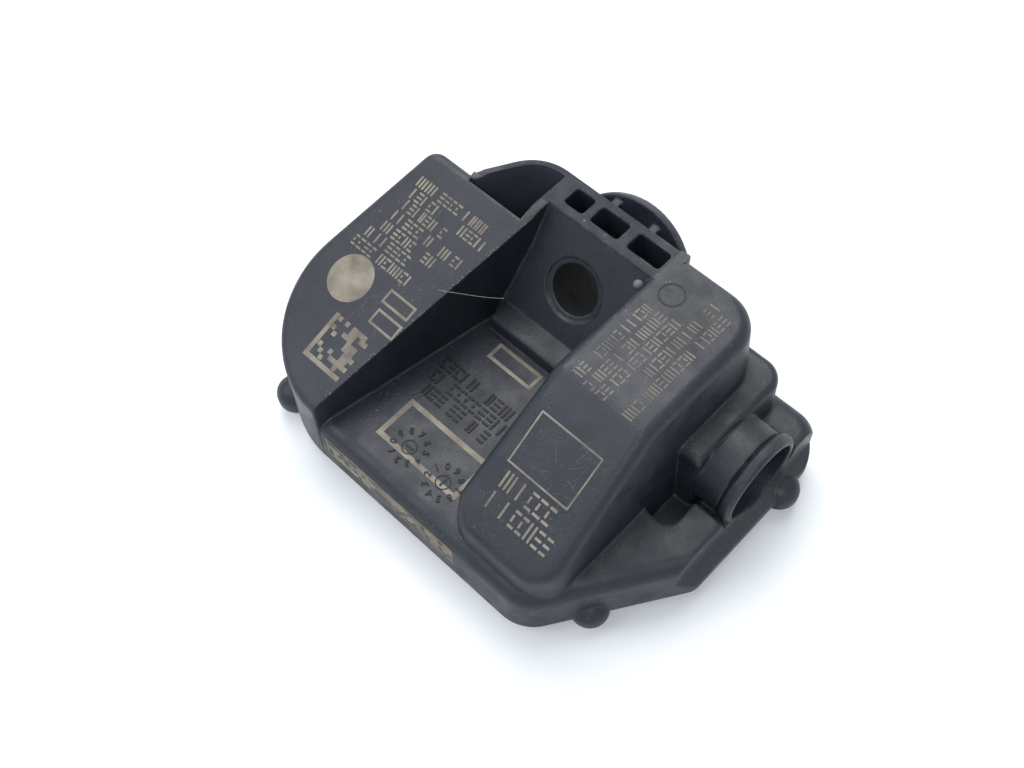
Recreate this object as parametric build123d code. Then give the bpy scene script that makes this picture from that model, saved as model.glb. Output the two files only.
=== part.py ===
from build123d import *
import math
import os

os.makedirs("parts", exist_ok=True)

# Clearances shared by the pieces
FIT = 0.1
OVER = 2.0

# Coin cell standing in the right lobe, which sets the part's height
CELL_R = 6.25
CELL_T = 5.0
CELL_Y = 5.2
CELL_GAP = 0.15
CELL_ROOM = 0.35
CAN_T = 0.25
GASKET_T = 0.7
CAP_STEP = 0.5
CATHODE_T = 1.4
SEPARATOR_T = 0.2
TAB_T = 0.15
TAB_W = 3.0
TAB_FOOT = 1.6
TAB_RISE = 2.0

# Cover and board
COVER_RIM = 1.0
COVER_T = 1.0
BOARD_GAP = 0.5
BOARD_T = 0.8
ROOM_WALL = 1.9
BOARD_EDGE = 0.4
ROOF_T = 1.5
BOARD_Z = COVER_T + BOARD_GAP
BOARD_TOP = BOARD_Z + BOARD_T
CELL_Z = BOARD_TOP + CELL_GAP + CELL_R
TOP = CELL_Z + CELL_R + CELL_ROOM + ROOF_T

# Base tray
BASE_LEFT = -20.85
BASE_RIGHT = 25.0
BASE_FRONT = -16.0
BASE_BACK = 13.9
RIGHT_BACK = 15.0
JOG_X = 8.6
JOG_R = 0.8
FLARE_X = 16.43
FLARE_Y = -3.0
BASE_TOP = 5.5
BASE_DRAFT = 2.0
WALL_DRAFT = 0.85
R_SWEEP = 10.4
R_FLARE_FRONT = 4.0
R_FLARE_SIDE = 2.0
R_BACK = 3.0
BASE_EDGE_R = 1.6
FLOOR_T = 1.4
CEILING = BASE_TOP - FLOOR_T

# Left lobe: a wedge that climbs to the back, turned a little against the base
LEFT_LEAN = 0.176
LEFT_BACK = 8.4
LEFT_BACK_R = 1.7
LEFT_FRONT_Z = 8.5
LEFT_CLIMB = 18.5
LEFT_EDGE_R = 0.9
RIDGE_FRONT_X = -8.45
RIDGE_BEND_Y = 8.0

# Back arch and the open pocket inside it
ARCH_X = -11.45
ARCH_KNEE_X = -8.2
ARCH_R = 5.0
ARCH_T = 0.8
POCKET_FRONT_Y = 7.25
POCKET_RIB_T = 0.85
POCKET_FLOOR = 8.6

# Back bar and inclined screw wall
BAR_FRONT = 10.1
BAR_LEFT = -4.05
SHELF_Z = 7.3
SHELF_BACK = 4.4
SHELF_FRONT = 2.1
SHELF_LEFT = -4.3
SHELF_R = 0.5
CELLS_FRONT = 10.9
CELLS_BACK = 12.9
CELLS_X = [(-3.4, -1.2), (-0.4, 2.8), (3.8, 7.4)]
CELLS_DEPTH = 3.4
CELLS_R = 0.35

# Valve screw hole and collar
SCREW_X = 1.35
SCREW_Y = 7.1
SCREW_Z = 11.8
SCREW_TILT = 31.0
SCREW_R = 2.45
RIM_R = 3.0
RIM_DEPTH = 0.25
COLLAR_DIST = 8.1
COLLAR_R = 7.3
COLLAR_T = 0.9
COLLAR_EDGE = 0.15
COLLAR_TUBE_R = 3.6
COLLAR_RIBS_X = [-1.5, 2.9]
COLLAR_RIB_T = 0.8
VALVE_FOOT_R = 5.0

# Right lobe and ledge
LOBE_LEFT = 5.9
LOBE_RIGHT = 18.4
LOBE_FRONT = -15.2
LOBE_BACK = 14.8
LOBE_DRAFT = 4.0
LOBE_CREASE_Y = -1.5
LOBE_SLOPE = 34.0
LOBE_R_FRONT = 3.6
LOBE_R_BACK = 5.0
LOBE_EDGE_R = 1.2
LOBE_WALL = 2.4
LEDGE_LEFT = 9.0
LEDGE_RIGHT = 20.3
LEDGE_BACK = 14.65
LEDGE_FRONT = 1.9
LEDGE_TOP = 10.0
LEDGE_R = 2.5
LEDGE_FRONT_R = 0.8
LEDGE_EDGE_R = 0.7

# Side port
PORT_Y = 6.3
PORT_Z = 6.0
PORT_BOSS_R = 4.3
PORT_RING_R = 4.65
PORT_RING_EDGE = 0.3
PORT_NECK_R = 4.1
PORT_NECK_W = 0.2
PORT_BORE_R = 3.95
PORT_FACE_X = 23.9
PORT_RING_X = 22.7
PORT_BORE_DEPTH = 4.1
PORT_NOTCH_R = 5.1
PORT_NOTCH_X = 20.9
PORT_NOTCH_Z = 4.0
PORT_WALL_Z = 2.2
PORT_VENT_R = 0.6
FILTER_T = 0.3
FILTER_R = 3.4

# Recess in the base beside the lobe
RECESS_LEFT = 17.6
RECESS_RIGHT = 20.9
RECESS_FRONT = -2.2
RECESS_DEPTH = 3.2
RECESS_R = 1.2

# Feet and board posts
FOOT_R = 1.8
FOOT_DROP = 1.7
FOOT_EDGE_R = 1.55
FEET = [(-15.3, -13.5), (19.3, -10.3), (24.4, 9.7), (-16.0, 6.0)]
POST_R = 1.1
POSTS = [(-1.0, -11.6), (3.0, 1.5), (13.0, -11.0), (0.0, 8.0)]
LEFT_POST = (-13.6, -8.4)

# Low room for the board
ROOM_RIGHT = 16.4
ROOM_BACK = 9.6

# Parts on the board
SENSOR = (-10.4, 1.4)
SENSOR_SIDE = 6.0
SENSOR_H = 1.5
SENSOR_EDGE = 0.3
LID_T = 0.25
LID_MARGIN = 0.6
BREATHER_R = 0.5
COIL = (-10.9, -6.6)
COIL_L = 7.4
COIL_W = 2.8
COIL_FLANGE = 0.9
COIL_CORE_W = 1.4
COIL_WIRE_T = 0.5
CRYSTAL = (-3.6, -5.6)
CRYSTAL_L = 3.2
CRYSTAL_W = 2.5
CRYSTAL_BASE_H = 0.4
CRYSTAL_LID_H = 0.3
CRYSTAL_MARGIN = 0.2
CHIP_L = 1.0
CHIP_W = 0.5
CHIP_H = 0.5
CHIP_PITCH = 1.3
CAPS_AT = (-6.2, -0.6)
RES_AT = (-6.2, -2.8)
CHIPS_IN_ROW = 6
ANTENNA_R = 0.35
ANTENNA_X = -14.7
ANTENNA_Y = (-5.4, 3.0)
ANTENNA_RISE = 4.0
ANTENNA_BEND = 1.2

CLIMB = math.tan(math.radians(LEFT_CLIMB))
TILT = math.radians(SCREW_TILT)
SCREW_AXIS = Vector(0, math.cos(TILT), -math.sin(TILT))
SCREW_UP = Vector(0, math.sin(TILT), math.cos(TILT))
SCREW_AT = Vector(SCREW_X, SCREW_Y, SCREW_Z)
COLLAR_AT = SCREW_AT + SCREW_AXIS * COLLAR_DIST


def rounded(points, radii):
    face = make_face(Polyline(*points, close=True))
    for point, radius in zip(points, radii):
        if radius > 0:
            corner = face.vertices().sort_by_distance(Vector(point[0], point[1], 0))[0]
            face = fillet(corner, radius)
    return face


def prism_x(profile, x0, x1):
    face = make_face(Polyline(*[(x0, y, z) for y, z in profile], close=True))
    return extrude(face, amount=x1 - x0, dir=(1, 0, 0))


def prism_z(plan, z0, z1):
    face = make_face(Polyline(*[(x, y, z0) for x, y in plan], close=True))
    return extrude(face, amount=z1 - z0, dir=(0, 0, 1))


def box(x0, x1, y0, y1, z0, z1):
    centre = ((x0 + x1) / 2, (y0 + y1) / 2, (z0 + z1) / 2)
    return Pos(*centre) * Box(x1 - x0, y1 - y0, z1 - z0)


def rod_x(y, z, radius, x0, x1):
    return Pos((x0 + x1) / 2, y, z) * Rot(0, 90, 0) * Cylinder(radius, x1 - x0)


def rod_z(x, y, radius, z0, z1):
    return Pos(x, y, (z0 + z1) / 2) * Cylinder(radius, z1 - z0)


def rod_screw(radius, start, end):
    plane = Plane(origin=SCREW_AT + SCREW_AXIS * start, z_dir=SCREW_AXIS)
    return extrude(plane * Circle(radius), amount=end - start)


def left_top(y):
    return LEFT_FRONT_Z + (y - BASE_FRONT) * CLIMB


def ridge_x(y):
    return RIDGE_FRONT_X + (y - BASE_FRONT) * LEFT_LEAN


def left_wedge(drop):
    level_y = BASE_FRONT + (TOP - LEFT_FRONT_Z) / CLIMB
    front = BASE_FRONT - OVER
    back = BASE_BACK + OVER
    return prism_x(
        [(front, 0), (front, left_top(front) - drop), (level_y, TOP - drop), (back, TOP - drop), (back, 0)],
        BASE_LEFT - OVER, 0)


# Outline of the moulding: swept front corner, leaning left side, arch at the back, flare at the right
left_back_x = BASE_LEFT + (LEFT_BACK - BASE_FRONT) * LEFT_LEAN
outline = rounded(
    [(BASE_LEFT, BASE_FRONT), (FLARE_X, BASE_FRONT), (BASE_RIGHT, FLARE_Y), (BASE_RIGHT, RIGHT_BACK),
     (JOG_X, RIGHT_BACK), (JOG_X - RIGHT_BACK + BASE_BACK, BASE_BACK),
     (ARCH_KNEE_X, BASE_BACK), (ARCH_X, LEFT_BACK), (left_back_x, LEFT_BACK)],
    [R_SWEEP, R_FLARE_FRONT, R_FLARE_SIDE, R_BACK, JOG_R, JOG_R, ARCH_R, 0, LEFT_BACK_R])
base = extrude(outline, amount=BASE_TOP, taper=BASE_DRAFT)
base = fillet(base.faces().sort_by(Axis.Z)[-1].edges(), BASE_EDGE_R)
envelope = extrude(outline, amount=TOP, taper=WALL_DRAFT)

# Left lobe: the outline carried up under a climbing plane, rounded along its outer edge as far as the arch
ridge_back = ridge_x(RIDGE_BEND_Y)
arch_side = box(ARCH_X - FIT, OVER, 0, BASE_BACK + OVER, 0, TOP + OVER)
left = extrude(outline, amount=TOP + OVER, taper=WALL_DRAFT) & left_wedge(0)
arch = left & arch_side
left = left - arch_side
climb_face = [f for f in left.faces() if 0.5 < f.normal_at().Z < 0.99][0]
outer = []
for edge in climb_face.edges():
    at = edge.center()
    inner = at.X > ARCH_X - OVER and at.Y > BASE_FRONT + OVER
    if not inner:
        outer.append(edge)
left = fillet(outer, LEFT_EDGE_R)
valley_side = prism_z(
    [(BASE_LEFT - OVER, BASE_FRONT - OVER), (ridge_x(BASE_FRONT - OVER), BASE_FRONT - OVER),
     (ridge_back, RIDGE_BEND_Y), (ridge_back, BASE_BACK + OVER), (BASE_LEFT - OVER, BASE_BACK + OVER)],
    0, TOP + OVER)
left = (left + arch) & valley_side

# Open pocket behind the back arch, which leaves a thin wall
arch_pocket = extrude(offset(outline, amount=-ARCH_T), amount=TOP + OVER) & box(
    ARCH_X, ridge_back - POCKET_RIB_T, POCKET_FRONT_Y, BASE_BACK, POCKET_FLOOR, TOP + OVER)

# Right lobe: level top, then a slope to the front, rounded all along its upper edge
lobe_plan = rounded(
    [(LOBE_LEFT, LOBE_FRONT), (LOBE_RIGHT, LOBE_FRONT), (LOBE_RIGHT, LOBE_BACK), (LOBE_LEFT, LOBE_BACK)],
    [LOBE_R_FRONT, LOBE_R_FRONT, LOBE_R_BACK, 0])
lobe = extrude(lobe_plan, amount=TOP, taper=LOBE_DRAFT)
slope_end = LOBE_FRONT - OVER
slope_end_z = TOP - (LOBE_CREASE_Y - slope_end) * math.tan(math.radians(LOBE_SLOPE))
lobe = lobe & prism_x(
    [(LOBE_BACK, 0), (LOBE_BACK, TOP), (LOBE_CREASE_Y, TOP), (slope_end, slope_end_z), (slope_end, 0)],
    LOBE_LEFT - OVER, LOBE_RIGHT + OVER)
crown_edges = []
for face in lobe.faces():
    if face.normal_at().Z > 0.7:
        crown_edges = crown_edges + list(face.edges())
rim_edges = []
for edge in crown_edges:
    ends = [v.center() for v in edge.vertices()]
    is_crease = all(abs(p.Y - LOBE_CREASE_Y) < FIT for p in ends)
    is_back_left = all(p.X < LOBE_LEFT + OVER and p.Y > LOBE_BACK - OVER for p in ends)
    if not is_crease and not is_back_left:
        rim_edges.append(edge)
lobe = fillet(rim_edges, LOBE_EDGE_R)
lobe = lobe & extrude(outline, amount=TOP + OVER, taper=WALL_DRAFT)

# Ledge beside the lobe
ledge_plan = rounded(
    [(LEDGE_LEFT, LEDGE_FRONT), (LEDGE_RIGHT, LEDGE_FRONT), (LEDGE_RIGHT, LEDGE_BACK), (LEDGE_LEFT, LEDGE_BACK)],
    [0, LEDGE_FRONT_R, LEDGE_R, 0])
ledge = extrude(ledge_plan, amount=LEDGE_TOP, taper=BASE_DRAFT)
ledge = fillet(ledge.faces().sort_by(Axis.Z)[-1].edges(), LEDGE_EDGE_R) & envelope

# Back bar with its inclined front wall, and the shelf at its foot
wall_run = (BAR_FRONT - SHELF_BACK) / (TOP - SHELF_Z)
wedge = prism_x(
    [(BASE_BACK, 0), (BASE_BACK, TOP), (BAR_FRONT, TOP), (BAR_FRONT - wall_run * TOP, 0)],
    ridge_back - POCKET_RIB_T / 2, LOBE_LEFT + OVER + LOBE_EDGE_R / 2)
wall_corner = prism_x(
    [(BAR_FRONT, 0), (BAR_FRONT, TOP), (BAR_FRONT - wall_run * TOP, 0)],
    ridge_x(SHELF_FRONT) - FIT, ridge_back)
wedge = (wedge + wall_corner) & envelope
shelf = box(SHELF_LEFT, LOBE_LEFT + OVER, SHELF_FRONT, BAR_FRONT, 0, SHELF_Z)
shelf = fillet(shelf.faces().sort_by(Axis.Z)[-1].edges().filter_by(Axis.X).sort_by(Axis.Y)[0], SHELF_R)

# Valve collar behind the bar, with its tube and two ribs
collar = rod_screw(COLLAR_R, COLLAR_DIST - COLLAR_T, COLLAR_DIST)
collar = chamfer(collar.edges().filter_by(GeomType.CIRCLE), COLLAR_EDGE)
collar = collar + rod_screw(COLLAR_TUBE_R, COLLAR_DIST / 4, COLLAR_DIST - COLLAR_T / 2)
tip = COLLAR_AT + SCREW_UP * (COLLAR_R - COLLAR_T) - SCREW_AXIS * (COLLAR_T / 2)
heel = COLLAR_AT - SCREW_AXIS * (COLLAR_T / 2)
for rib_x in COLLAR_RIBS_X:
    collar = collar + prism_x(
        [(tip.Y, tip.Z), (CELLS_BACK, tip.Z), (CELLS_BACK, heel.Z), (heel.Y, heel.Z)],
        rib_x - COLLAR_RIB_T / 2, rib_x + COLLAR_RIB_T / 2)
collar = collar & box(BASE_LEFT, BASE_RIGHT, SHELF_FRONT, BASE_BACK + COLLAR_R, CEILING, TOP + COLLAR_R)

# Side port boss with its ring, growing out of the ledge's wall
port_root = LEDGE_RIGHT - LEDGE_EDGE_R / 2
port = rod_x(PORT_Y, PORT_Z, PORT_BOSS_R, port_root, PORT_RING_X - PORT_NECK_W)
port = port + rod_x(PORT_Y, PORT_Z, PORT_NECK_R, port_root, PORT_FACE_X - PORT_RING_EDGE)
ring = rod_x(PORT_Y, PORT_Z, PORT_RING_R, PORT_RING_X, PORT_FACE_X)
port = port + chamfer(ring.edges().filter_by(GeomType.CIRCLE), PORT_RING_EDGE)

# Whole moulding: recess and port notch in the tray first, then the raised parts
recess = rounded(
    [(RECESS_LEFT, RECESS_FRONT), (RECESS_RIGHT, RECESS_FRONT), (RECESS_RIGHT, LEDGE_FRONT + RECESS_R),
     (RECESS_LEFT, LEDGE_FRONT + RECESS_R)], [RECESS_R, RECESS_R, 0, 0])
housing = base - extrude(Pos(0, 0, BASE_TOP - RECESS_DEPTH) * recess, amount=RECESS_DEPTH + OVER)
notch = rod_x(PORT_Y, PORT_Z, PORT_NOTCH_R, PORT_NOTCH_X, BASE_RIGHT + OVER)
notch = notch & box(PORT_NOTCH_X, PORT_FACE_X, BASE_FRONT, BASE_BACK, PORT_NOTCH_Z, TOP)
housing = housing - notch
cut_y = FLARE_Y - OVER
wall_cut = make_face(Polyline(
    (PORT_FACE_X, cut_y, TOP), (PORT_FACE_X, cut_y, PORT_WALL_Z),
    (BASE_RIGHT + PORT_WALL_Z, cut_y, -OVER), (BASE_RIGHT + OVER, cut_y, TOP), close=True))
housing = housing - extrude(wall_cut, amount=RIGHT_BACK + OVER - cut_y, dir=(0, 1, 0))
for block in (left, wedge, shelf, lobe, ledge, collar, port):
    housing = housing + block
housing = housing - arch_pocket

# Cavity from below: rebate for the cover, low room for the board, high rooms under both lobes
port_pad = box(PORT_NOTCH_X - ROOM_WALL, BASE_RIGHT, PORT_Y - PORT_BOSS_R, PORT_Y + PORT_BOSS_R, 0, COVER_T + FIT)
rebate = extrude(offset(outline, amount=-COVER_RIM), amount=COVER_T + FIT) - port_pad
room_plan = offset(outline, amount=-ROOM_WALL)
room = extrude(room_plan, amount=CEILING) & box(BASE_LEFT, ROOM_RIGHT, BASE_FRONT, ROOM_BACK, 0, CEILING)
left_room = extrude(room_plan, amount=TOP) & left_wedge(ROOF_T) & prism_z(
    [(BASE_LEFT, BASE_FRONT), (ridge_x(BASE_FRONT) - ROOF_T, BASE_FRONT),
     (ridge_x(POCKET_FRONT_Y) - ROOF_T, POCKET_FRONT_Y - ROOF_T), (BASE_LEFT, POCKET_FRONT_Y - ROOF_T)], 0, TOP)
cell_mid = (LOBE_LEFT + LOBE_RIGHT) / 2
cell_x0 = cell_mid - CELL_T / 2
cell_x1 = cell_mid + CELL_T / 2
room_r = CELL_R + CELL_ROOM
lobe_room = box(cell_x0 - TAB_T - CELL_ROOM, cell_x1 + TAB_T + CELL_ROOM,
                CELL_Y - room_r, CELL_Y + room_r, 0, CELL_Z + room_r)
lobe_room = fillet(lobe_room.edges().filter_by(Axis.X), POST_R)
housing = housing - rebate - room - left_room - lobe_room
for post_x, post_y in POSTS:
    housing = housing + rod_z(post_x, post_y, POST_R, BOARD_TOP, CEILING + FIT)
housing = housing + rod_z(LEFT_POST[0], LEFT_POST[1], POST_R, BOARD_TOP, left_top(LEFT_POST[1]) - ROOF_T / 2)
for x, y in FEET:
    foot = rod_z(x, y, FOOT_R, -FOOT_DROP, FOOT_R)
    foot = fillet(foot.edges().filter_by(GeomType.CIRCLE), FOOT_EDGE_R)
    housing = housing + (foot - rebate - room)

# Open cells in the bar, screw hole with its seat, and the port's bore
for x0, x1 in CELLS_X:
    cell = box(x0, x1, CELLS_FRONT, CELLS_BACK, TOP - CELLS_DEPTH, TOP + OVER)
    housing = housing - fillet(cell.edges().filter_by(Axis.Z), CELLS_R)
housing = housing - rod_screw(SCREW_R, -OVER, COLLAR_DIST + OVER)
housing = housing - rod_screw(RIM_R, -OVER, RIM_DEPTH)
housing = housing - rod_screw(VALVE_FOOT_R, COLLAR_DIST, COLLAR_DIST + COLLAR_R)
bore_end = PORT_FACE_X - PORT_BORE_DEPTH
housing = housing - rod_x(PORT_Y, PORT_Z, PORT_BORE_R, bore_end, PORT_FACE_X + OVER)
housing = housing - rod_x(PORT_Y, PORT_Z, FILTER_R, bore_end - FILTER_T, bore_end + FIT)
housing = housing - rod_x(PORT_Y, PORT_Z, PORT_VENT_R, cell_x1, bore_end)

# Cover let into the underside, with pads that carry the board
cover = extrude(offset(outline, amount=-COVER_RIM - FIT), amount=COVER_T)
cover = cover - box(PORT_NOTCH_X - ROOM_WALL - FIT, BASE_RIGHT, PORT_Y - PORT_BOSS_R - FIT,
                    PORT_Y + PORT_BOSS_R + FIT, 0, COVER_T)
for x, y in FEET:
    cover = cover - rod_z(x, y, FOOT_R + FIT, -FIT, COVER_T + FIT)
for post_x, post_y in POSTS + [LEFT_POST]:
    cover = cover + rod_z(post_x, post_y, POST_R, COVER_T - FIT, BOARD_Z)

# Board filling the low room
board_plan = offset(outline, amount=-ROOM_WALL - BOARD_EDGE)
board = extrude(Pos(0, 0, BOARD_Z) * board_plan, amount=BOARD_T) & box(
    BASE_LEFT, ROOM_RIGHT - BOARD_EDGE, BASE_FRONT, ROOM_BACK - BOARD_EDGE, 0, CEILING)

# Coin cell on edge in the lobe
can_r = CELL_R - CAN_T
cap_r = can_r - GASKET_T
cathode_x = cell_x1 - CAN_T - CATHODE_T
separator_x = cathode_x - SEPARATOR_T
can = rod_x(CELL_Y, CELL_Z, CELL_R, cell_x0 + CAP_STEP, cell_x1)
can = can - rod_x(CELL_Y, CELL_Z, can_r, cell_x0, cell_x1 - CAN_T)
gasket = rod_x(CELL_Y, CELL_Z, can_r, cell_x0 + CAP_STEP, cathode_x)
gasket = gasket - rod_x(CELL_Y, CELL_Z, cap_r, cell_x0, cell_x1)
cap = rod_x(CELL_Y, CELL_Z, cap_r, cell_x0, cathode_x)
cap = cap - rod_x(CELL_Y, CELL_Z, cap_r - CAN_T, cell_x0 + CAN_T, cell_x1)
cathode = rod_x(CELL_Y, CELL_Z, can_r, cathode_x, cell_x1 - CAN_T)
separator = rod_x(CELL_Y, CELL_Z, cap_r - CAN_T, separator_x, cathode_x)
anode = rod_x(CELL_Y, CELL_Z, cap_r - CAN_T, cell_x0 + CAN_T, separator_x)

# Welded strips from the cell down to the board
tab_y0 = CELL_Y - TAB_W / 2
tab_y1 = CELL_Y + TAB_W / 2
plus = box(cell_x1, cell_x1 + TAB_T, tab_y0, tab_y1, BOARD_TOP, CELL_Z + TAB_RISE)
plus = plus + box(cell_x1, cell_x1 + TAB_FOOT, tab_y0, tab_y1, BOARD_TOP, BOARD_TOP + TAB_T)
minus = box(cell_x0 - TAB_T, cell_x0, tab_y0, tab_y1, BOARD_TOP, CELL_Z + TAB_RISE)
minus = minus + box(cell_x0 - TAB_FOOT, cell_x0, tab_y0, tab_y1, BOARD_TOP, BOARD_TOP + TAB_T)

# Pressure sensor package with a breathing lid
half = SENSOR_SIDE / 2
lid_half = half - LID_MARGIN
lid_z = BOARD_TOP + SENSOR_H
sensor = Pos(SENSOR[0], SENSOR[1], BOARD_TOP + SENSOR_H / 2) * Box(SENSOR_SIDE, SENSOR_SIDE, SENSOR_H)
sensor = chamfer(sensor.faces().sort_by(Axis.Z)[-1].edges(), SENSOR_EDGE)
lid = Pos(SENSOR[0], SENSOR[1], lid_z + LID_T / 2) * Box(2 * lid_half, 2 * lid_half, LID_T)
lid = lid - rod_z(SENSOR[0], SENSOR[1], BREATHER_R, lid_z, lid_z + LID_T)

# Wake-up coil: ferrite bobbin and its winding, lying along Y
coil_z = BOARD_TOP + COIL_W / 2
coil_y0 = COIL[1] - COIL_L / 2
coil_y1 = COIL[1] + COIL_L / 2
wire_w = COIL_CORE_W + 2 * COIL_WIRE_T
wire_l = COIL_L - 2 * COIL_FLANGE
bar_core = Pos(COIL[0], COIL[1], coil_z) * Box(COIL_CORE_W, COIL_L, COIL_CORE_W)
core = bar_core
for flange_y in (coil_y0 + COIL_FLANGE / 2, coil_y1 - COIL_FLANGE / 2):
    core = core + Pos(COIL[0], flange_y, coil_z) * Box(COIL_W, COIL_FLANGE, COIL_W)
winding = Pos(COIL[0], COIL[1], coil_z) * Box(wire_w, wire_l, wire_w)
winding = fillet(winding.edges().filter_by(Axis.Y), COIL_WIRE_T) - bar_core

# Crystal in its ceramic base
shell_z = BOARD_TOP + CRYSTAL_BASE_H
crystal = Pos(CRYSTAL[0], CRYSTAL[1], BOARD_TOP + CRYSTAL_BASE_H / 2) * Box(CRYSTAL_L, CRYSTAL_W, CRYSTAL_BASE_H)
shell = Pos(CRYSTAL[0], CRYSTAL[1], shell_z + CRYSTAL_LID_H / 2) * Box(
    CRYSTAL_L - 2 * CRYSTAL_MARGIN, CRYSTAL_W - 2 * CRYSTAL_MARGIN, CRYSTAL_LID_H)
shell = fillet(shell.edges().filter_by(Axis.Z), CRYSTAL_MARGIN)

# Rows of small chip parts
caps = []
chips = []
for i in range(CHIPS_IN_ROW):
    step = i * CHIP_PITCH
    caps.append(box(CAPS_AT[0] + step, CAPS_AT[0] + step + CHIP_W, CAPS_AT[1], CAPS_AT[1] + CHIP_L,
                    BOARD_TOP, BOARD_TOP + CHIP_H))
    chips.append(box(RES_AT[0] + step, RES_AT[0] + step + CHIP_W, RES_AT[1], RES_AT[1] + CHIP_L,
                     BOARD_TOP, BOARD_TOP + CHIP_H * 0.7))

# Antenna: a wire loop standing on the board
wire_top = BOARD_TOP + ANTENNA_RISE
start = Plane(origin=(ANTENNA_X, ANTENNA_Y[0], BOARD_TOP), z_dir=(0, 0, 1))
track = FilletPolyline(
    (ANTENNA_X, ANTENNA_Y[0], BOARD_TOP), (ANTENNA_X, ANTENNA_Y[0], wire_top),
    (ANTENNA_X, ANTENNA_Y[1], wire_top), (ANTENNA_X, ANTENNA_Y[1], BOARD_TOP), radius=ANTENNA_BEND)
antenna = sweep(start * Circle(ANTENNA_R), path=track)

# Breather membrane at the bottom of the port
membrane = rod_x(PORT_Y, PORT_Z, FILTER_R - FIT / 2, bore_end - FILTER_T, bore_end)

nodes = {
    "housing": housing,
    "bottom_cover": cover,
    "circuit_board": board,
    "cell_can": can,
    "cell_cap": cap,
    "cell_gasket": gasket,
    "cell_cathode": cathode,
    "cell_separator": separator,
    "cell_anode": anode,
    "tab_positive": plus,
    "tab_negative": minus,
    "sensor_body": sensor,
    "sensor_lid": lid,
    "coil_core": core,
    "coil_winding": winding,
    "crystal_base": crystal,
    "crystal_lid": shell,
    "capacitors": Compound(children=caps),
    "resistors": Compound(children=chips),
    "antenna": antenna,
    "port_filter": membrane,
}

# Origin under the middle of the part, feet standing on Z = 0
extent = housing.bounding_box()
shift = Location((-extent.center().X, -extent.center().Y, -extent.min.Z))
for name, shape in nodes.items():
    export_step(shape.moved(shift), "parts/" + name + ".step")
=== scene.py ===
import bpy
import math
import random
from mathutils import Matrix, Vector


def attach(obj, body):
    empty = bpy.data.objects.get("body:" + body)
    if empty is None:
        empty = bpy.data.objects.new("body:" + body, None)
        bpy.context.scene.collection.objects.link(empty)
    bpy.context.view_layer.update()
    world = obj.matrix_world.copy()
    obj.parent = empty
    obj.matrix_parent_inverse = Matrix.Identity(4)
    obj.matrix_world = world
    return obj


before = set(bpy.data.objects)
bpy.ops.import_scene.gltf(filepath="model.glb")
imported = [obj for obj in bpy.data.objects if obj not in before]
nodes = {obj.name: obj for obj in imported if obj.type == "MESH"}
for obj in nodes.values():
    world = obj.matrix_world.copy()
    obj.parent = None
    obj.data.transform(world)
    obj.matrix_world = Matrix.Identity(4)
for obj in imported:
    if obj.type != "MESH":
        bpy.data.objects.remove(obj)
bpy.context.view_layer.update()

# Moulded housing: one black glass-filled nylon moulding with two lobes and a valley between them.
# Its satin skin has a fine grain and softly rounded edges; its edges are painted paler grey, partly rubbed wear and
# partly a painted edge highlight.
# Places on it are millimetres in the moulding's own layout, and SHIFT carries them into the frame.
MM = 0.001
SHIFT = Vector((-3.6701, -0.8628, 1.7))
TOP_Z = 16.8
CREASE_Y = -1.5
SLOPE = math.radians(34.0)
EDGE_R = 0.4
WORN_AND_HIGHLIGHT_WIDTH = 0.34
GRAIN_SIZE = 0.22
GRAIN_DEPTH = 0.04
NYLON_DARK = (0.0060, 0.0080, 0.0135, 1)
NYLON_PALE = (0.0150, 0.0185, 0.0275, 1)
PORE_PALE = (0.034, 0.038, 0.046, 1)
WORN_AND_HIGHLIGHT_GREY = (0.13, 0.128, 0.124, 1)


def group(name, inputs, outputs):
    tree = bpy.data.node_groups.new(name, "ShaderNodeTree")
    for label, value in inputs.items():
        socket = tree.interface.new_socket(name=label, in_out="INPUT", socket_type="NodeSocketFloat")
        socket.default_value = value
    for label in outputs:
        tree.interface.new_socket(name=label, in_out="OUTPUT", socket_type="NodeSocketFloat")
    return tree, tree.nodes.new("NodeGroupInput").outputs, tree.nodes.new("NodeGroupOutput").inputs


def add(tree, kind, values=None, **settings):
    made = tree.nodes.new(kind)
    for key, value in settings.items():
        setattr(made, key, value)
    for key, value in (values or {}).items():
        if isinstance(value, bpy.types.NodeSocket):
            tree.links.new(value, made.inputs[key])
        else:
            made.inputs[key].default_value = value
    return made


def math_node(tree, operation, a, b=0.0, clamp=False):
    return add(tree, "ShaderNodeMath", {0: a, 1: b}, operation=operation, use_clamp=clamp).outputs[0]


def vector_math(tree, operation, output, *vectors):
    return add(tree, "ShaderNodeVectorMath", dict(enumerate(vectors)), operation=operation).outputs[output]


def spread(tree, value, low, high, to_low=0.0, to_high=1.0):
    ranged = add(tree, "ShaderNodeMapRange",
                 {"Value": value, "From Min": low, "From Max": high, "To Min": to_low, "To Max": to_high})
    return ranged.outputs["Result"]


def noise(tree, scale, detail=2.0, rough=0.5):
    place = add(tree, "ShaderNodeTexCoord").outputs["Object"]
    return add(tree, "ShaderNodeTexNoise",
               {"Vector": place, "Scale": scale, "Detail": detail, "Roughness": rough}).outputs["Fac"]


def mix_colour(tree, factor, first, second):
    made = add(tree, "ShaderNodeMix", data_type="RGBA")
    for index, value in ((0, factor), (6, first), (7, second)):
        if isinstance(value, bpy.types.NodeSocket):
            tree.links.new(value, made.inputs[index])
        else:
            made.inputs[index].default_value = value
    return made.outputs[2]


def use(tree, shared, **values):
    made = tree.nodes.new("ShaderNodeGroup")
    made.node_tree = shared
    for key, value in values.items():
        made.inputs[key.replace("_", " ")].default_value = value
    return made.outputs


def surface(name):
    material = bpy.data.materials.new(name)
    material.use_nodes = True
    tree = material.node_tree
    return material, tree, tree.nodes["Principled BSDF"].inputs


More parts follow.
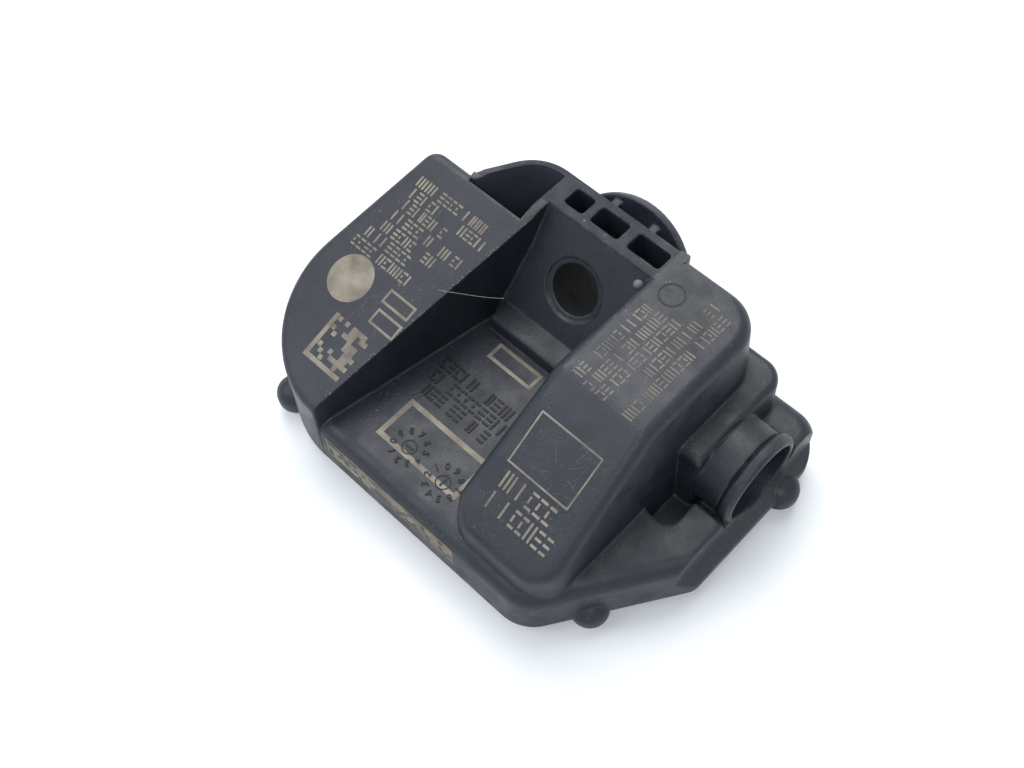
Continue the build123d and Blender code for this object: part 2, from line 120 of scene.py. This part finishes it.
grain, given, out = group("moulded_grain", {"Grain Size": 0.25, "Mottle Size": 6.0}, ["Height", "Mottle", "Gloss"])
fine = noise(grain, math_node(grain, "DIVIDE", 1000.0, given["Grain Size"]), 3.0, 0.6)
broad = noise(grain, math_node(grain, "DIVIDE", 1000.0, given["Mottle Size"]), 4.0, 0.6)
middle = noise(grain, math_node(grain, "DIVIDE", 3000.0, given["Mottle Size"]), 3.0, 0.55)
grain.links.new(fine, out["Height"])
grain.links.new(spread(grain, broad, 0.3, 0.7), out["Mottle"])
grain.links.new(spread(grain, middle, 0.3, 0.7), out["Gloss"])

# Edge mask: marks edges in patches; it carries rubbed wear and a painted edge highlight together.
edges, given, out = group("rubbed_and_highlit_edges", {"Width": 0.3, "Patch Size": 1.6}, ["Worn"])
soft = add(edges, "ShaderNodeBevel", {"Radius": math_node(edges, "MULTIPLY", given["Width"], MM)}, samples=6)
flat = add(edges, "ShaderNodeNewGeometry").outputs["Normal"]
corner = spread(edges, vector_math(edges, "DOT_PRODUCT", "Value", soft.outputs[0], flat), 0.995, 0.86)
patches = noise(edges, math_node(edges, "DIVIDE", 1000.0, given["Patch Size"]), 5.0, 0.7)
edges.links.new(math_node(edges, "MULTIPLY", corner, spread(edges, patches, 0.42, 0.72)), out["Worn"])

nylon, tree, skin = surface("black_nylon")
felt = use(tree, grain, Grain_Size=GRAIN_SIZE, Mottle_Size=7.0)
wear_and_highlight = use(tree, edges, Width=WORN_AND_HIGHLIGHT_WIDTH, Patch_Size=1.4)
colour = mix_colour(tree, felt["Mottle"], NYLON_DARK, NYLON_PALE)
colour = mix_colour(tree, spread(tree, felt["Height"], 0.3, 0.7, 0.0, 0.3), colour, PORE_PALE)
# Edges painted paler grey: partly rubbed wear, partly a painted edge highlight.
colour = mix_colour(tree, math_node(tree, "MULTIPLY", wear_and_highlight["Worn"], 0.75), colour, WORN_AND_HIGHLIGHT_GREY)
place = add(tree, "ShaderNodeTexCoord").outputs["Object"]
where = add(tree, "ShaderNodeSeparateXYZ", {"Vector": place}).outputs
outward = add(tree, "ShaderNodeNewGeometry").outputs["True Normal"]
facing = add(tree, "ShaderNodeSeparateXYZ", {"Vector": outward}).outputs

# Dust caught on the upper faces
DUST_FINE = 2800.0
DUST_PATCH = 160.0
DUST_PALE = (0.17, 0.165, 0.155, 1)
specks = spread(tree, noise(tree, DUST_FINE, 2.0, 0.6), 0.64, 0.75)
specks = math_node(tree, "MULTIPLY", specks, spread(tree, noise(tree, DUST_PATCH, 2.0, 0.5), 0.42, 0.66))
specks = math_node(tree, "MULTIPLY", specks, spread(tree, facing["Z"], 0.2, 0.8, 0.0, 0.6))
colour = mix_colour(tree, specks, colour, DUST_PALE)

# Painted shade: deep inside the screw's bore the colour is painted near-black, standing in for the shade in the hole,
# and the same mask makes the bore rougher
BORE_AT = Vector((1.35, 7.1, 11.8))
BORE_TILT = math.radians(31.0)
BORE_SHADE_R = 2.6
BORE_SHADE_START = 0.35
BORE_SHADE_BLACK = (0.002, 0.0023, 0.003, 1)
along = Vector((0, math.cos(BORE_TILT), -math.sin(BORE_TILT)))
apart = vector_math(tree, "SUBTRACT", "Vector", place, (BORE_AT + SHIFT) * MM)
depth = vector_math(tree, "DOT_PRODUCT", "Value", apart, along)
spoke = vector_math(tree, "LENGTH", "Value", vector_math(tree, "CROSS_PRODUCT", "Vector", apart, along))
bore_shade = math_node(tree, "MULTIPLY", math_node(tree, "LESS_THAN", spoke, BORE_SHADE_R * MM),
                   math_node(tree, "GREATER_THAN", depth, BORE_SHADE_START * MM))
colour = mix_colour(tree, bore_shade, colour, BORE_SHADE_BLACK)

# Painted light on the inner faces of the back pocket, which are painted a paler blue-grey to look lit, and a duller
# bar where the valve was handled
POCKET_BOX = ((-11.6, 7.2, 8.0), (-4.95, 13.2, 16.6))
POCKET_PAINTED_LIGHT = (0.075, 0.082, 0.1, 1)
BAR_BOX = ((-11.2, 9.9, 16.5), (7.6, 14.2, 17.0))


def inside(low, high):
    found = 1.0
    for axis, start, end, move in zip("XYZ", low, high, SHIFT):
        past = math_node(tree, "GREATER_THAN", where[axis], (start + move) * MM)
        before = math_node(tree, "LESS_THAN", where[axis], (end + move) * MM)
        found = math_node(tree, "MULTIPLY", math_node(tree, "MULTIPLY", found, past), before)
    return found


pocket_light = math_node(tree, "MULTIPLY", inside(*POCKET_BOX), math_node(tree, "LESS_THAN", facing["Y"], 0.2))
pocket_light = math_node(tree, "MULTIPLY", pocket_light, math_node(tree, "GREATER_THAN", facing["X"], -0.2))
colour = mix_colour(tree, math_node(tree, "MULTIPLY", pocket_light, 0.75), colour, POCKET_PAINTED_LIGHT)
handled = inside(*BAR_BOX)
tree.links.new(colour, skin["Base Color"])
dull = spread(tree, felt["Gloss"], 0.0, 1.0, 0.31, 0.54)
dull = math_node(tree, "ADD", dull, math_node(tree, "MULTIPLY", bore_shade, 0.4), True)
dull = math_node(tree, "ADD", dull, math_node(tree, "MULTIPLY", handled, 0.22), True)
tree.links.new(dull, skin["Roughness"])
skin["Specular IOR Level"].default_value = 0.34

# The right lobe bends gently from its level top into the slope
CROWN_LEFT_X = 5.5
CROWN_LOW_Z = 13.8
BEND_FRONT_Y = CREASE_Y - 3.4
BEND_BACK_Y = CREASE_Y + 2.6
bend = add(tree, "ShaderNodeMapRange", {"Value": where["Y"], "From Min": (BEND_FRONT_Y + SHIFT.y) * MM,
                                        "From Max": (BEND_BACK_Y + SHIFT.y) * MM}, interpolation_type="SMOOTHSTEP")
turned = add(tree, "ShaderNodeMix", {0: bend.outputs["Result"], 4: (0, -math.sin(SLOPE), math.cos(SLOPE)),
                                     5: (0, 0, 1)}, data_type="VECTOR").outputs[1]
turned = vector_math(tree, "NORMALIZE", "Vector", turned)
crown = math_node(tree, "MULTIPLY", math_node(tree, "GREATER_THAN", where["Z"], (CROWN_LOW_Z + SHIFT.z) * MM),
                  math_node(tree, "GREATER_THAN", where["X"], (CROWN_LEFT_X + SHIFT.x) * MM))
crown = math_node(tree, "MULTIPLY", crown, math_node(tree, "GREATER_THAN", facing["Z"], 0.8))
level_x = math_node(tree, "LESS_THAN", math_node(tree, "ABSOLUTE", facing["X"]), 0.03)
crown = math_node(tree, "MULTIPLY", crown, level_x)
rounded_edge = add(tree, "ShaderNodeBevel", {"Radius": EDGE_R * MM}, samples=6).outputs[0]
bent = add(tree, "ShaderNodeMix", {0: crown, 4: rounded_edge, 5: turned}, data_type="VECTOR").outputs[1]
tooth = add(tree, "ShaderNodeBump", {"Height": felt["Height"], "Strength": 0.85, "Distance": GRAIN_DEPTH * MM,
                                     "Normal": bent})
tree.links.new(tooth.outputs["Normal"], skin["Normal"])


def dress(name, material, angle=28.0):
    body = nodes[name]
    body.data.materials.clear()
    body.data.materials.append(material)
    for face in body.data.polygons:
        face.use_smooth = True
    weld = body.modifiers.new("weld", "WELD")
    weld.merge_threshold = 0.0005 * MM
    split = body.modifiers.new("creases", "EDGE_SPLIT")
    split.split_angle = math.radians(angle)
    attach(body, "root")


dress("housing", nylon)

# Moulded relief: three raised lines and two date dials on the valley floor, and an ejector ring on the right lobe.
# The mould cuts them into the nylon, so they stand a tenth of a millimetre proud and stay darker than the skin.
# Lines of writing are plain rows of short bars here.
VALLEY_Z = 5.5
FRONT_Y = -16.0
LEFT_FRONT_Z = 8.5
CLIMB = math.tan(math.radians(18.5))
FALL = math.tan(SLOPE)
LEAN = math.tan(math.radians(2.0))
PLANES = {
    "left": (lambda x, y: (x, y, LEFT_FRONT_Z + (y - FRONT_Y) * CLIMB), Vector((0, -CLIMB, 1)).normalized()),
    "top": (lambda x, y: (x, y, TOP_Z), Vector((0, 0, 1))),
    "slope": (lambda x, y: (x, y, TOP_Z + (y - CREASE_Y) * FALL), Vector((0, -FALL, 1)).normalized()),
    "valley": (lambda x, y: (x, y, VALLEY_Z), Vector((0, 0, 1))),
    "front": (lambda x, z: (x, FRONT_Y + z * LEAN, z), Vector((0, -1, LEAN)).normalized()),
}


def show(name, data, material):
    data.materials.append(material)
    made = bpy.data.objects.new(name, data)
    bpy.context.scene.collection.objects.link(made)
    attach(made, "root")


def prisms(name, plane, shapes, low, high, material):
    at, up = PLANES[plane]
    points = []
    faces = []
    for shape in shapes:
        start = len(points)
        count = len(shape)
        for lift in (low, high):
            for u, v in shape:
                points.append((Vector(at(u, v)) + up * lift + SHIFT) * MM)
        faces.append([start + count - 1 - i for i in range(count)])
        faces.append([start + count + i for i in range(count)])
        for i in range(count):
            j = (i + 1) % count
            faces.append([start + i, start + j, start + count + j, start + count + i])
    mesh = bpy.data.meshes.new(name)
    mesh.from_pydata(points, [], faces)
    mesh.update()
    show(name, mesh, material)


def bar(x0, y0, x1, y1):
    return [(x0, y0), (x1, y0), (x1, y1), (x0, y1)]


def line_blocks(rng, start, end, middle, height, along="x", weight=0.15):
    shapes = []
    stroke = weight * height
    place = start
    low = middle - height / 2
    high = middle + height / 2
    while place < end - 0.3 * height:
        kind = rng.random()
        width = rng.uniform(0.44, 0.6) * height
        if kind < 0.12:
            place += width
            continue
        far = place + width
        if kind < 0.34:
            shapes.append(bar(place, low, place + stroke, high))
        elif kind < 0.56:
            shapes.append(bar(place, low, far, low + stroke))
            shapes.append(bar(place, high - stroke, far, high))
            shapes.append(bar(place, low + 2 * stroke, place + stroke, high - 2 * stroke))
        elif kind < 0.8:
            shapes.append(bar(place, low, place + stroke, high))
            shapes.append(bar(far - stroke, low, far, high))
        else:
            shapes.append(bar(place, low, far, low + stroke))
            shapes.append(bar(place, middle - stroke / 2, far, middle + stroke / 2))
            shapes.append(bar(place, high - stroke, far, high))
        place = far + 0.17 * height
    if along == "y":
        shapes = [[(v, start + end - u) for u, v in shape][::-1] for shape in shapes]
    return shapes


def disc(x, y, radius, count=32):
    return [(x + radius * math.cos(2 * math.pi * i / count), y + radius * math.sin(2 * math.pi * i / count))
            for i in range(count)]


def ring(x, y, inner, outer, count=40):
    near = disc(x, y, inner, count)
    far = disc(x, y, outer, count)
    return [[near[i], far[i], far[(i + 1) % count], near[(i + 1) % count]] for i in range(count)]


relief, tree, skin = surface("relief_black")
felt = use(tree, grain, Grain_Size=0.3, Mottle_Size=4.0)
tree.links.new(mix_colour(tree, felt["Mottle"], (0.004, 0.0045, 0.006, 1), (0.009, 0.0095, 0.011, 1)),
               skin["Base Color"])
skin["Roughness"].default_value = 0.5
skin["Specular IOR Level"].default_value = 0.25

RAISED_ROWS = [(-5.0, 4.3, -3.45), (-4.7, 4.5, -5.0), (-4.2, 4.5, -6.55)]
RAISED_HEIGHT = 1.25
BOLD = 0.19
rng = random.Random(11)
raised = []
for start, end, middle in RAISED_ROWS:
    raised = raised + line_blocks(rng, start, end, middle, RAISED_HEIGHT, weight=BOLD)
prisms("raised_lines", "valley", raised, -0.03, 0.1, relief)

FIGURES = "0123456789"
FIGURE_SIZE = 0.9
FIGURE_DEPTH = 0.06
FIGURE_SWELL = 0.02
FIGURE_CIRCLE_R = 1.55
LEFT_DIAL = (-0.9, -11.7)
RIGHT_DIAL = (3.7, -12.1)


def dial(name, centre, turn):
    points = []
    faces = []
    for i, number in enumerate(FIGURES):
        letter = bpy.data.curves.new(name + "_figure", "FONT")
        letter.body = number
        letter.size = FIGURE_SIZE
        letter.align_x = "CENTER"
        letter.align_y = "CENTER"
        letter.extrude = FIGURE_DEPTH
        letter.offset = FIGURE_SWELL
        figure = bpy.data.objects.new(name + "_figure", letter)
        bpy.context.scene.collection.objects.link(figure)
        bpy.context.view_layer.update()
        angle = math.radians(turn + 360.0 * i / len(FIGURES))
        spot = Vector((centre[0] + FIGURE_CIRCLE_R * math.cos(angle), centre[1] + FIGURE_CIRCLE_R * math.sin(angle),
                       VALLEY_Z + FIGURE_DEPTH / 2)) + SHIFT
        mesh = bpy.data.meshes.new_from_object(figure.evaluated_get(bpy.context.evaluated_depsgraph_get()))
        mesh.transform(Matrix.Translation(spot * MM) @ Matrix.Rotation(angle - math.pi / 2, 4, "Z")
                       @ Matrix.Scale(MM, 4))
        start = len(points)
        points = points + [tuple(v.co) for v in mesh.vertices]
        faces = faces + [[start + corner for corner in f.vertices] for f in mesh.polygons]
        bpy.data.objects.remove(figure)
    whole = bpy.data.meshes.new(name)
    whole.from_pydata(points, [], faces)
    show(name, whole, relief)


dial("date_dial_left", LEFT_DIAL, 200.0)
dial("date_dial_right", RIGHT_DIAL, 120.0)

POINTER_RING = (0.62, 0.74)
POINTER_HALF_L = 0.45
POINTER_HALF_W = 0.1
left_x, left_y = LEFT_DIAL
right_x, right_y = RIGHT_DIAL
pointers = ring(left_x, left_y, *POINTER_RING) + ring(right_x, right_y, *POINTER_RING)
pointers.append(bar(left_x - POINTER_HALF_L, left_y - POINTER_HALF_W,
                    left_x + POINTER_HALF_L, left_y + POINTER_HALF_W))
pointers.append(bar(right_x - POINTER_HALF_W, right_y - POINTER_HALF_L,
                    right_x + POINTER_HALF_W, right_y + POINTER_HALF_L))
prisms("dial_pointers", "valley", pointers, -0.03, 0.05, relief)
prisms("ejector_mark", "top", ring(9.87, 9.8, 1.05, 1.2), -0.03, 0.03, relief)

# Laser marking on the left lobe: rows of short bars, a plain disc, two plain frames and a patch of blocks.
# The laser foams the black skin to a matt beige that stands a hair above it.
ETCH_LOW = -0.02
ETCH_HIGH = 0.02
etched, tree, skin = surface("etched_beige")
felt = use(tree, grain, Grain_Size=0.3, Mottle_Size=2.4)
tree.links.new(mix_colour(tree, felt["Mottle"], (0.13, 0.112, 0.092, 1), (0.32, 0.275, 0.22, 1)), skin["Base Color"])
skin["Roughness"].default_value = 0.75
skin["Specular IOR Level"].default_value = 0.2

LEFT_ROWS = [(-15.2, -6.4, 4.7), (-14.9, -11.3, 3.5), (-8.9, -5.2, 3.5), (-14.7, -8.9, 2.35), (-14.9, -6.5, 1.1),
             (-15.5, -8.3, -0.15), (-15.9, -10.4, -1.35), (-16.4, -9.3, -2.6)]
LEFT_ROW_HEIGHT = 0.98
rng = random.Random(5)
blocks = []
for start, end, middle in LEFT_ROWS:
    blocks = blocks + line_blocks(rng, start, end, middle, LEFT_ROW_HEIGHT, weight=BOLD)
prisms("left_lines", "left", blocks, ETCH_LOW, ETCH_HIGH, etched)
prisms("left_disc", "left", [disc(-14.0, -5.4, 2.2, 48)], ETCH_LOW, ETCH_HIGH, etched)


def frame_bars(x0, y0, x1, y1, line):
    return [bar(x0, y0, x1, y0 + line), bar(x0, y1 - line, x1, y1),
            bar(x0, y0 + line, x0 + line, y1 - line), bar(x1 - line, y0 + line, x1, y1 - line)]


left_frames = frame_bars(-10.2, -5.3, -7.0, -3.9, 0.22) + frame_bars(-9.9, -7.3, -6.9, -5.8, 0.22)
prisms("left_frames", "left", left_frames, ETCH_LOW, ETCH_HIGH, etched)


def patch(rng, x0, y0, columns, lines, cell, fill):
    shapes = []
    for i in range(columns):
        for j in range(lines):
            if rng.random() < fill:
                shapes.append(bar(x0 + i * cell, y0 + j * cell, x0 + (i + 1) * cell, y0 + (j + 1) * cell))
    return shapes


PATCH_CELL = 0.44
PATCH_X = -12.3
PATCH_Y = -12.3
patch_blocks = patch(rng, PATCH_X, PATCH_Y, 9, 9, PATCH_CELL, 0.48)
patch_blocks = patch_blocks + [bar(-12.8, -12.8, -12.36, -8.3), bar(-12.36, -12.8, -8.4, -12.36)]
prisms("left_patch", "left", patch_blocks, ETCH_LOW, ETCH_HIGH, etched)

# Laser marking in the valley, on the right lobe and on the front wall, all of it as plain shapes.
# It is burnt in by the same laser after moulding, and it is worn fainter on the right lobe's top.
VALLEY_ETCH_HIGH = 0.025
prisms("valley_frame", "valley", frame_bars(-4.2, -12.7, 5.6, -8.1, 0.5), ETCH_LOW, VALLEY_ETCH_HIGH, etched)
prisms("valley_pill", "valley", frame_bars(-2.4, -0.4, 2.9, 1.5, 0.34), ETCH_LOW, VALLEY_ETCH_HIGH, etched)

faint, tree, skin = surface("etched_faint")
felt = use(tree, grain, Grain_Size=0.3, Mottle_Size=3.0)
tree.links.new(mix_colour(tree, felt["Mottle"], (0.085, 0.077, 0.066, 1), (0.24, 0.21, 0.17, 1)), skin["Base Color"])
skin["Roughness"].default_value = 0.7
skin["Specular IOR Level"].default_value = 0.3

RIGHT_ROWS = [(-1.9, 11.0, 14.7), (0.8, 11.3, 13.3), (-1.4, 8.0, 11.9), (-1.4, 7.8, 10.6), (-1.4, 7.6, 9.2)]
RIGHT_ROW_HEIGHT = 1.0
rng = random.Random(23)
blocks = []
for start, end, middle in RIGHT_ROWS:
    blocks = blocks + line_blocks(rng, start, end, middle, RIGHT_ROW_HEIGHT, "y")
prisms("right_lines", "top", blocks, ETCH_LOW, ETCH_HIGH, faint)

SLOPE_ROWS = [(9.2, 14.7, -10.0), (9.2, 16.0, -11.75)]
SLOPE_ROW_HEIGHT = 1.35
blocks = []
for start, end, middle in SLOPE_ROWS:
    blocks = blocks + line_blocks(rng, start, end, middle, SLOPE_ROW_HEIGHT)
prisms("slope_lines", "slope", blocks, ETCH_LOW, ETCH_HIGH, etched)
prisms("slope_frame", "slope", frame_bars(8.6, -8.9, 15.2, -4.6, 0.14), ETCH_LOW, ETCH_HIGH, etched)
band = patch(rng, -7.4, 1.85, 29, 4, 0.54, 0.62) + frame_bars(-7.6, 1.7, 8.4, 4.3, 0.14)
prisms("front_band", "front", band, ETCH_LOW, ETCH_HIGH, etched)

# Traces of use on the housing: torn flash and pale nicks along the ridge, and chips by the right lobe's valley edge.
# Fine scratches cross the upper faces, a moulded pip stands beside the bar, and a stray fibre lies over the ridge.
RIDGE_FRONT_X = -8.45
RIDGE_LEAN = 0.176
BAR_EDGE_Y = 10.35
pale_nick, tree, skin = surface("pale_nick")
felt = use(tree, grain, Grain_Size=0.2, Mottle_Size=0.8)
tree.links.new(mix_colour(tree, felt["Mottle"], (0.03, 0.031, 0.034, 1), (0.19, 0.185, 0.18, 1)), skin["Base Color"])
skin["Roughness"].default_value = 0.6


def fleck(rng, x, y, size):
    count = rng.randint(4, 6)
    turn = rng.uniform(0, 2 * math.pi)
    return [(x + size * rng.uniform(0.5, 1.3) * math.cos(turn + 2 * math.pi * i / count),
             y + size * rng.uniform(0.5, 1.3) * math.sin(turn + 2 * math.pi * i / count)) for i in range(count)]


rng = random.Random(41)
nicks = []
for i in range(150):
    y = rng.uniform(-15.4, 7.2)
    x = RIDGE_FRONT_X + (y - FRONT_Y) * RIDGE_LEAN - abs(rng.gauss(0.0, 0.1)) - 0.03
    nicks.append(fleck(rng, x, y, rng.uniform(0.02, 0.075)))
prisms("ridge_nicks", "left", nicks, -0.02, 0.03, pale_nick)
chips = []
for i in range(26):
    chips.append(fleck(rng, 8.3 + abs(rng.gauss(0.0, 0.5)), rng.gauss(-1.0, 0.8), rng.uniform(0.03, 0.12)))
for i in range(14):
    chips.append(fleck(rng, 9.0 - 12.0 * rng.random() ** 2, BAR_EDGE_Y + abs(rng.gauss(0.0, 0.2)),
                       0.02 + 0.1 * rng.random() ** 3))
chips = [chip for chip in chips if min(v for u, v in chip) > CREASE_Y + 0.1]
prisms("lobe_chips", "top", chips, -0.02, 0.025, pale_nick)

scuff, tree, skin = surface("scratch_grey")
felt = use(tree, grain, Grain_Size=0.2, Mottle_Size=1.2)
tree.links.new(mix_colour(tree, felt["Mottle"], (0.02, 0.021, 0.024, 1), (0.085, 0.085, 0.09, 1)), skin["Base Color"])
skin["Roughness"].default_value = 0.5


def scratch(rng, x, y, length, angle):
    along = (math.cos(angle), math.sin(angle))
    wide = 0.009 + 0.024 * rng.random() ** 2
    return [(x - along[1] * wide, y + along[0] * wide), (x + along[1] * wide, y - along[0] * wide),
            (x + along[0] * length, y + along[1] * length)]


def scratches(name, plane, count, x0, x1, y0, y1):
    marks = []
    for i in range(count):
        marks.append(scratch(rng, rng.uniform(x0, x1), rng.uniform(y0, y1), 0.3 + 2.2 * rng.random() ** 2,
                             rng.gauss(0.8, 0.9)))
    prisms(name, plane, marks, -0.01, 0.012, scuff)


scratches("left_scratches", "left", 60, -15.0, -10.0, -9.0, 4.0)
scratches("top_scratches", "top", 70, 8.4, 14.4, 0.6, 10.6)
scratches("slope_scratches", "slope", 70, 8.4, 14.8, -12.6, -4.4)
scratches("valley_scratches", "valley", 50, -3.4, 4.6, -12.4, -0.5)

PIP_AT = Vector((6.95, 8.9, 16.45))
PIP_RINGS = [(0.42, -0.05), (0.40, 0.12), (0.30, 0.26), (0.16, 0.34)]
PIP_SIDES = 16
points = []
for radius, height in PIP_RINGS:
    for u, v in disc(0.0, 0.0, radius, PIP_SIDES):
        points.append((PIP_AT + Vector((u, v, height)) + SHIFT) * MM)
faces = []
for level in range(len(PIP_RINGS) - 1):
    for i in range(PIP_SIDES):
        j = (i + 1) % PIP_SIDES
        low = PIP_SIDES * level
        high = low + PIP_SIDES
        faces.append([low + i, low + j, high + j, high + i])
faces.append(list(range(len(points) - PIP_SIDES, len(points))))
faces.append(list(range(PIP_SIDES - 1, -1, -1)))
pip_mesh = bpy.data.meshes.new("moulded_pip")
pip_mesh.from_pydata(points, [], faces)
show("moulded_pip", pip_mesh, pale_nick)

FIBRE_R = 0.016
FIBRE_TRACK = [(-6.6, -1.6, 13.45), (-5.9, -1.3, 13.6), (-5.2, -0.9, 13.6), (-4.2, 0.0, 13.3), (-3.2, 0.9, 12.9),
               (-2.2, 2.0, 12.6)]
fibre, tree, skin = surface("fibre_pale")
skin["Base Color"].default_value = (0.34, 0.34, 0.34, 1)
skin["Roughness"].default_value = 0.5
strand = bpy.data.curves.new("stray_fibre", "CURVE")
strand.dimensions = "3D"
strand.bevel_depth = FIBRE_R * MM
strand.bevel_resolution = 2
spline = strand.splines.new("NURBS")
spline.points.add(len(FIBRE_TRACK) - 1)
for point, spot in zip(spline.points, FIBRE_TRACK):
    point.co = tuple((Vector(spot) + SHIFT) * MM) + (1.0,)
spline.use_endpoint_u = True
spline.order_u = 4
show("stray_fibre", strand, fibre)

# Circuit board with its parts: glass-cloth board under green mask, sensor package, wake-up coil and crystal.
# The chips and the antenna wire are soldered to it as well. All of it sits closed in inside the housing.


def plain(name, colour, rough, metal=0.0):
    material, tree, skin = surface(name)
    felt = use(tree, grain, Grain_Size=0.3, Mottle_Size=3.0)
    dim = tuple(0.8 * c for c in colour)
    tree.links.new(mix_colour(tree, felt["Mottle"], dim + (1,), colour + (1,)), skin["Base Color"])
    tree.links.new(spread(tree, felt["Gloss"], 0.0, 1.0, rough - 0.05, rough + 0.05), skin["Roughness"])
    skin["Metallic"].default_value = metal
    return material


dress("circuit_board", plain("board_mask", (0.02, 0.12, 0.05), 0.4))
package = plain("package_epoxy", (0.02, 0.02, 0.022), 0.5)
dress("sensor_body", package)
lid_metal = plain("lid_metal", (0.62, 0.62, 0.6), 0.3, 1.0)
dress("sensor_lid", lid_metal)
dress("crystal_lid", lid_metal)
dress("crystal_base", plain("crystal_ceramic", (0.75, 0.73, 0.68), 0.5))
dress("coil_core", plain("coil_ferrite", (0.05, 0.048, 0.046), 0.6))
dress("coil_winding", plain("coil_copper", (0.72, 0.32, 0.14), 0.35, 1.0))
dress("capacitors", plain("capacitor_tan", (0.45, 0.33, 0.2), 0.5))
dress("resistors", plain("resistor_black", (0.03, 0.03, 0.03), 0.45))
dress("antenna", plain("antenna_tinned", (0.7, 0.7, 0.68), 0.3, 1.0))

# Coin cell, standing on edge in the right lobe: a drawn steel can and cap crimped over a plastic seal.
# Inside are the pressed black cathode, a felt separator and the soft metal anode.
# Two nickel strips are spot-welded to it and run down to the board.
cell_metal = plain("cell_metal", (0.6, 0.6, 0.58), 0.28, 1.0)
dress("cell_can", cell_metal)
dress("cell_cap", cell_metal)
dress("cell_gasket", plain("cell_seal", (0.35, 0.36, 0.38), 0.5))
dress("cell_cathode", plain("cell_black", (0.02, 0.02, 0.02), 0.8))
dress("cell_separator", plain("cell_cloth", (0.8, 0.8, 0.77), 0.8))
dress("cell_anode", plain("cell_foil", (0.5, 0.5, 0.5), 0.45, 1.0))
strip = plain("strip_nickel", (0.66, 0.64, 0.6), 0.3, 1.0)
dress("tab_positive", strip)
dress("tab_negative", strip)

# Breather membrane and bottom cover: a porous grey film sits deep in the side port and lets air reach the sensor.
# The cover is a flat moulded nylon plate, let into the underside and welded round its rim.
dress("port_filter", plain("membrane", (0.16, 0.16, 0.165), 0.9))
dress("bottom_cover", plain("cover_nylon", (0.02, 0.021, 0.024), 0.5))

# Studio: the part stands on a pale floor under three wide soft lamps, with a faint blue sky as fill.
# Floor and sky look white to the camera and in reflections, and the floor keeps the part's shadow.
FLOOR_REACH = 4.0
FLOOR_GLOW_NEAR = 0.12
FLOOR_GLOW_START = 0.06
FLOOR_GLOW_END = 0.28
SKY_FILL = (0.281, 0.320, 0.36, 1)
WHITE = (1, 1, 1, 1)


def shown(tree):
    path = add(tree, "ShaderNodeLightPath").outputs
    seen = math_node(tree, "MAXIMUM", path["Is Camera Ray"], path["Is Glossy Ray"])
    return math_node(tree, "MAXIMUM", seen, path["Is Transmission Ray"])


floor_mesh = bpy.data.meshes.new("floor")
corners = bar(-FLOOR_REACH, -FLOOR_REACH, FLOOR_REACH, FLOOR_REACH)
floor_mesh.from_pydata([(x, y, 0) for x, y in corners], [], [(0, 1, 2, 3)])
pale, tree, skin = surface("floor_white")
skin["Base Color"].default_value = (0.8, 0.8, 0.8, 1)
skin["Roughness"].default_value = 0.9
skin["Specular IOR Level"].default_value = 0.0
skin["Emission Color"].default_value = WHITE
reached = vector_math(tree, "LENGTH", "Value", add(tree, "ShaderNodeTexCoord").outputs["Object"])
paler = spread(tree, reached, FLOOR_GLOW_START, FLOOR_GLOW_END, FLOOR_GLOW_NEAR, 1.0)
tree.links.new(math_node(tree, "MULTIPLY", shown(tree), paler), skin["Emission Strength"])
floor_mesh.materials.append(pale)
floor = bpy.data.objects.new("floor", floor_mesh)
bpy.context.scene.collection.objects.link(floor)

sky = bpy.data.worlds.new("sky")
sky.use_nodes = True
glow = mix_colour(sky.node_tree, shown(sky.node_tree), SKY_FILL, WHITE)
sky.node_tree.links.new(glow, sky.node_tree.nodes["Background"].inputs["Color"])
bpy.context.scene.world = sky


def soft_light(name, place, size_x, size_y, power, colour):
    lamp = bpy.data.lights.new(name, "AREA")
    lamp.shape = "RECTANGLE"
    lamp.size = size_x
    lamp.size_y = size_y
    lamp.energy = power
    lamp.color = colour
    made = bpy.data.objects.new(name, lamp)
    made.matrix_world = Matrix.Translation(place) @ Vector(place).to_track_quat("Z", "Y").to_matrix().to_4x4()
    bpy.context.scene.collection.objects.link(made)


soft_light("key", (-0.26, 0.24, 0.54), 0.5, 0.6, 4.4, (0.98, 0.985, 0.985))
soft_light("front_fill", (-0.36, -0.42, 0.56), 0.5, 0.45, 2.2, (0.90, 0.95, 1.0))
soft_light("high_fill", (0.26, -0.30, 0.60), 0.35, 0.35, 1.7, (0.88, 0.94, 1.0))

# Camera: it looks down on the part from the front right, over the right lobe, as the photograph does.
# Its place, tilt and lens were fitted to the part's straight edges.
EYE = Vector((38.909, -41.314, 107.789)) * MM
AZIMUTH = math.radians(46.24)
ELEVATION = math.radians(60.41)
ROLL = math.radians(-3.06)
LENS = 45.04
SENSOR = 36.0
back = Vector((math.cos(ELEVATION) * math.sin(AZIMUTH), -math.cos(ELEVATION) * math.cos(AZIMUTH),
               math.sin(ELEVATION)))
side = Vector((math.cos(AZIMUTH), math.sin(AZIMUTH), 0))
over = back.cross(side)
across = math.cos(ROLL) * side + math.sin(ROLL) * over
upward = -math.sin(ROLL) * side + math.cos(ROLL) * over
view = bpy.data.cameras.new("camera")
view.sensor_fit = "HORIZONTAL"
view.sensor_width = SENSOR
view.lens = LENS
view.clip_start = 0.005
view.clip_end = 20.0
camera = bpy.data.objects.new("camera", view)
camera.matrix_world = Matrix.Translation(EYE) @ Matrix((across, upward, back)).transposed().to_4x4()
bpy.context.scene.collection.objects.link(camera)
bpy.context.scene.camera = camera
bpy.context.scene.view_settings.view_transform = "Standard"
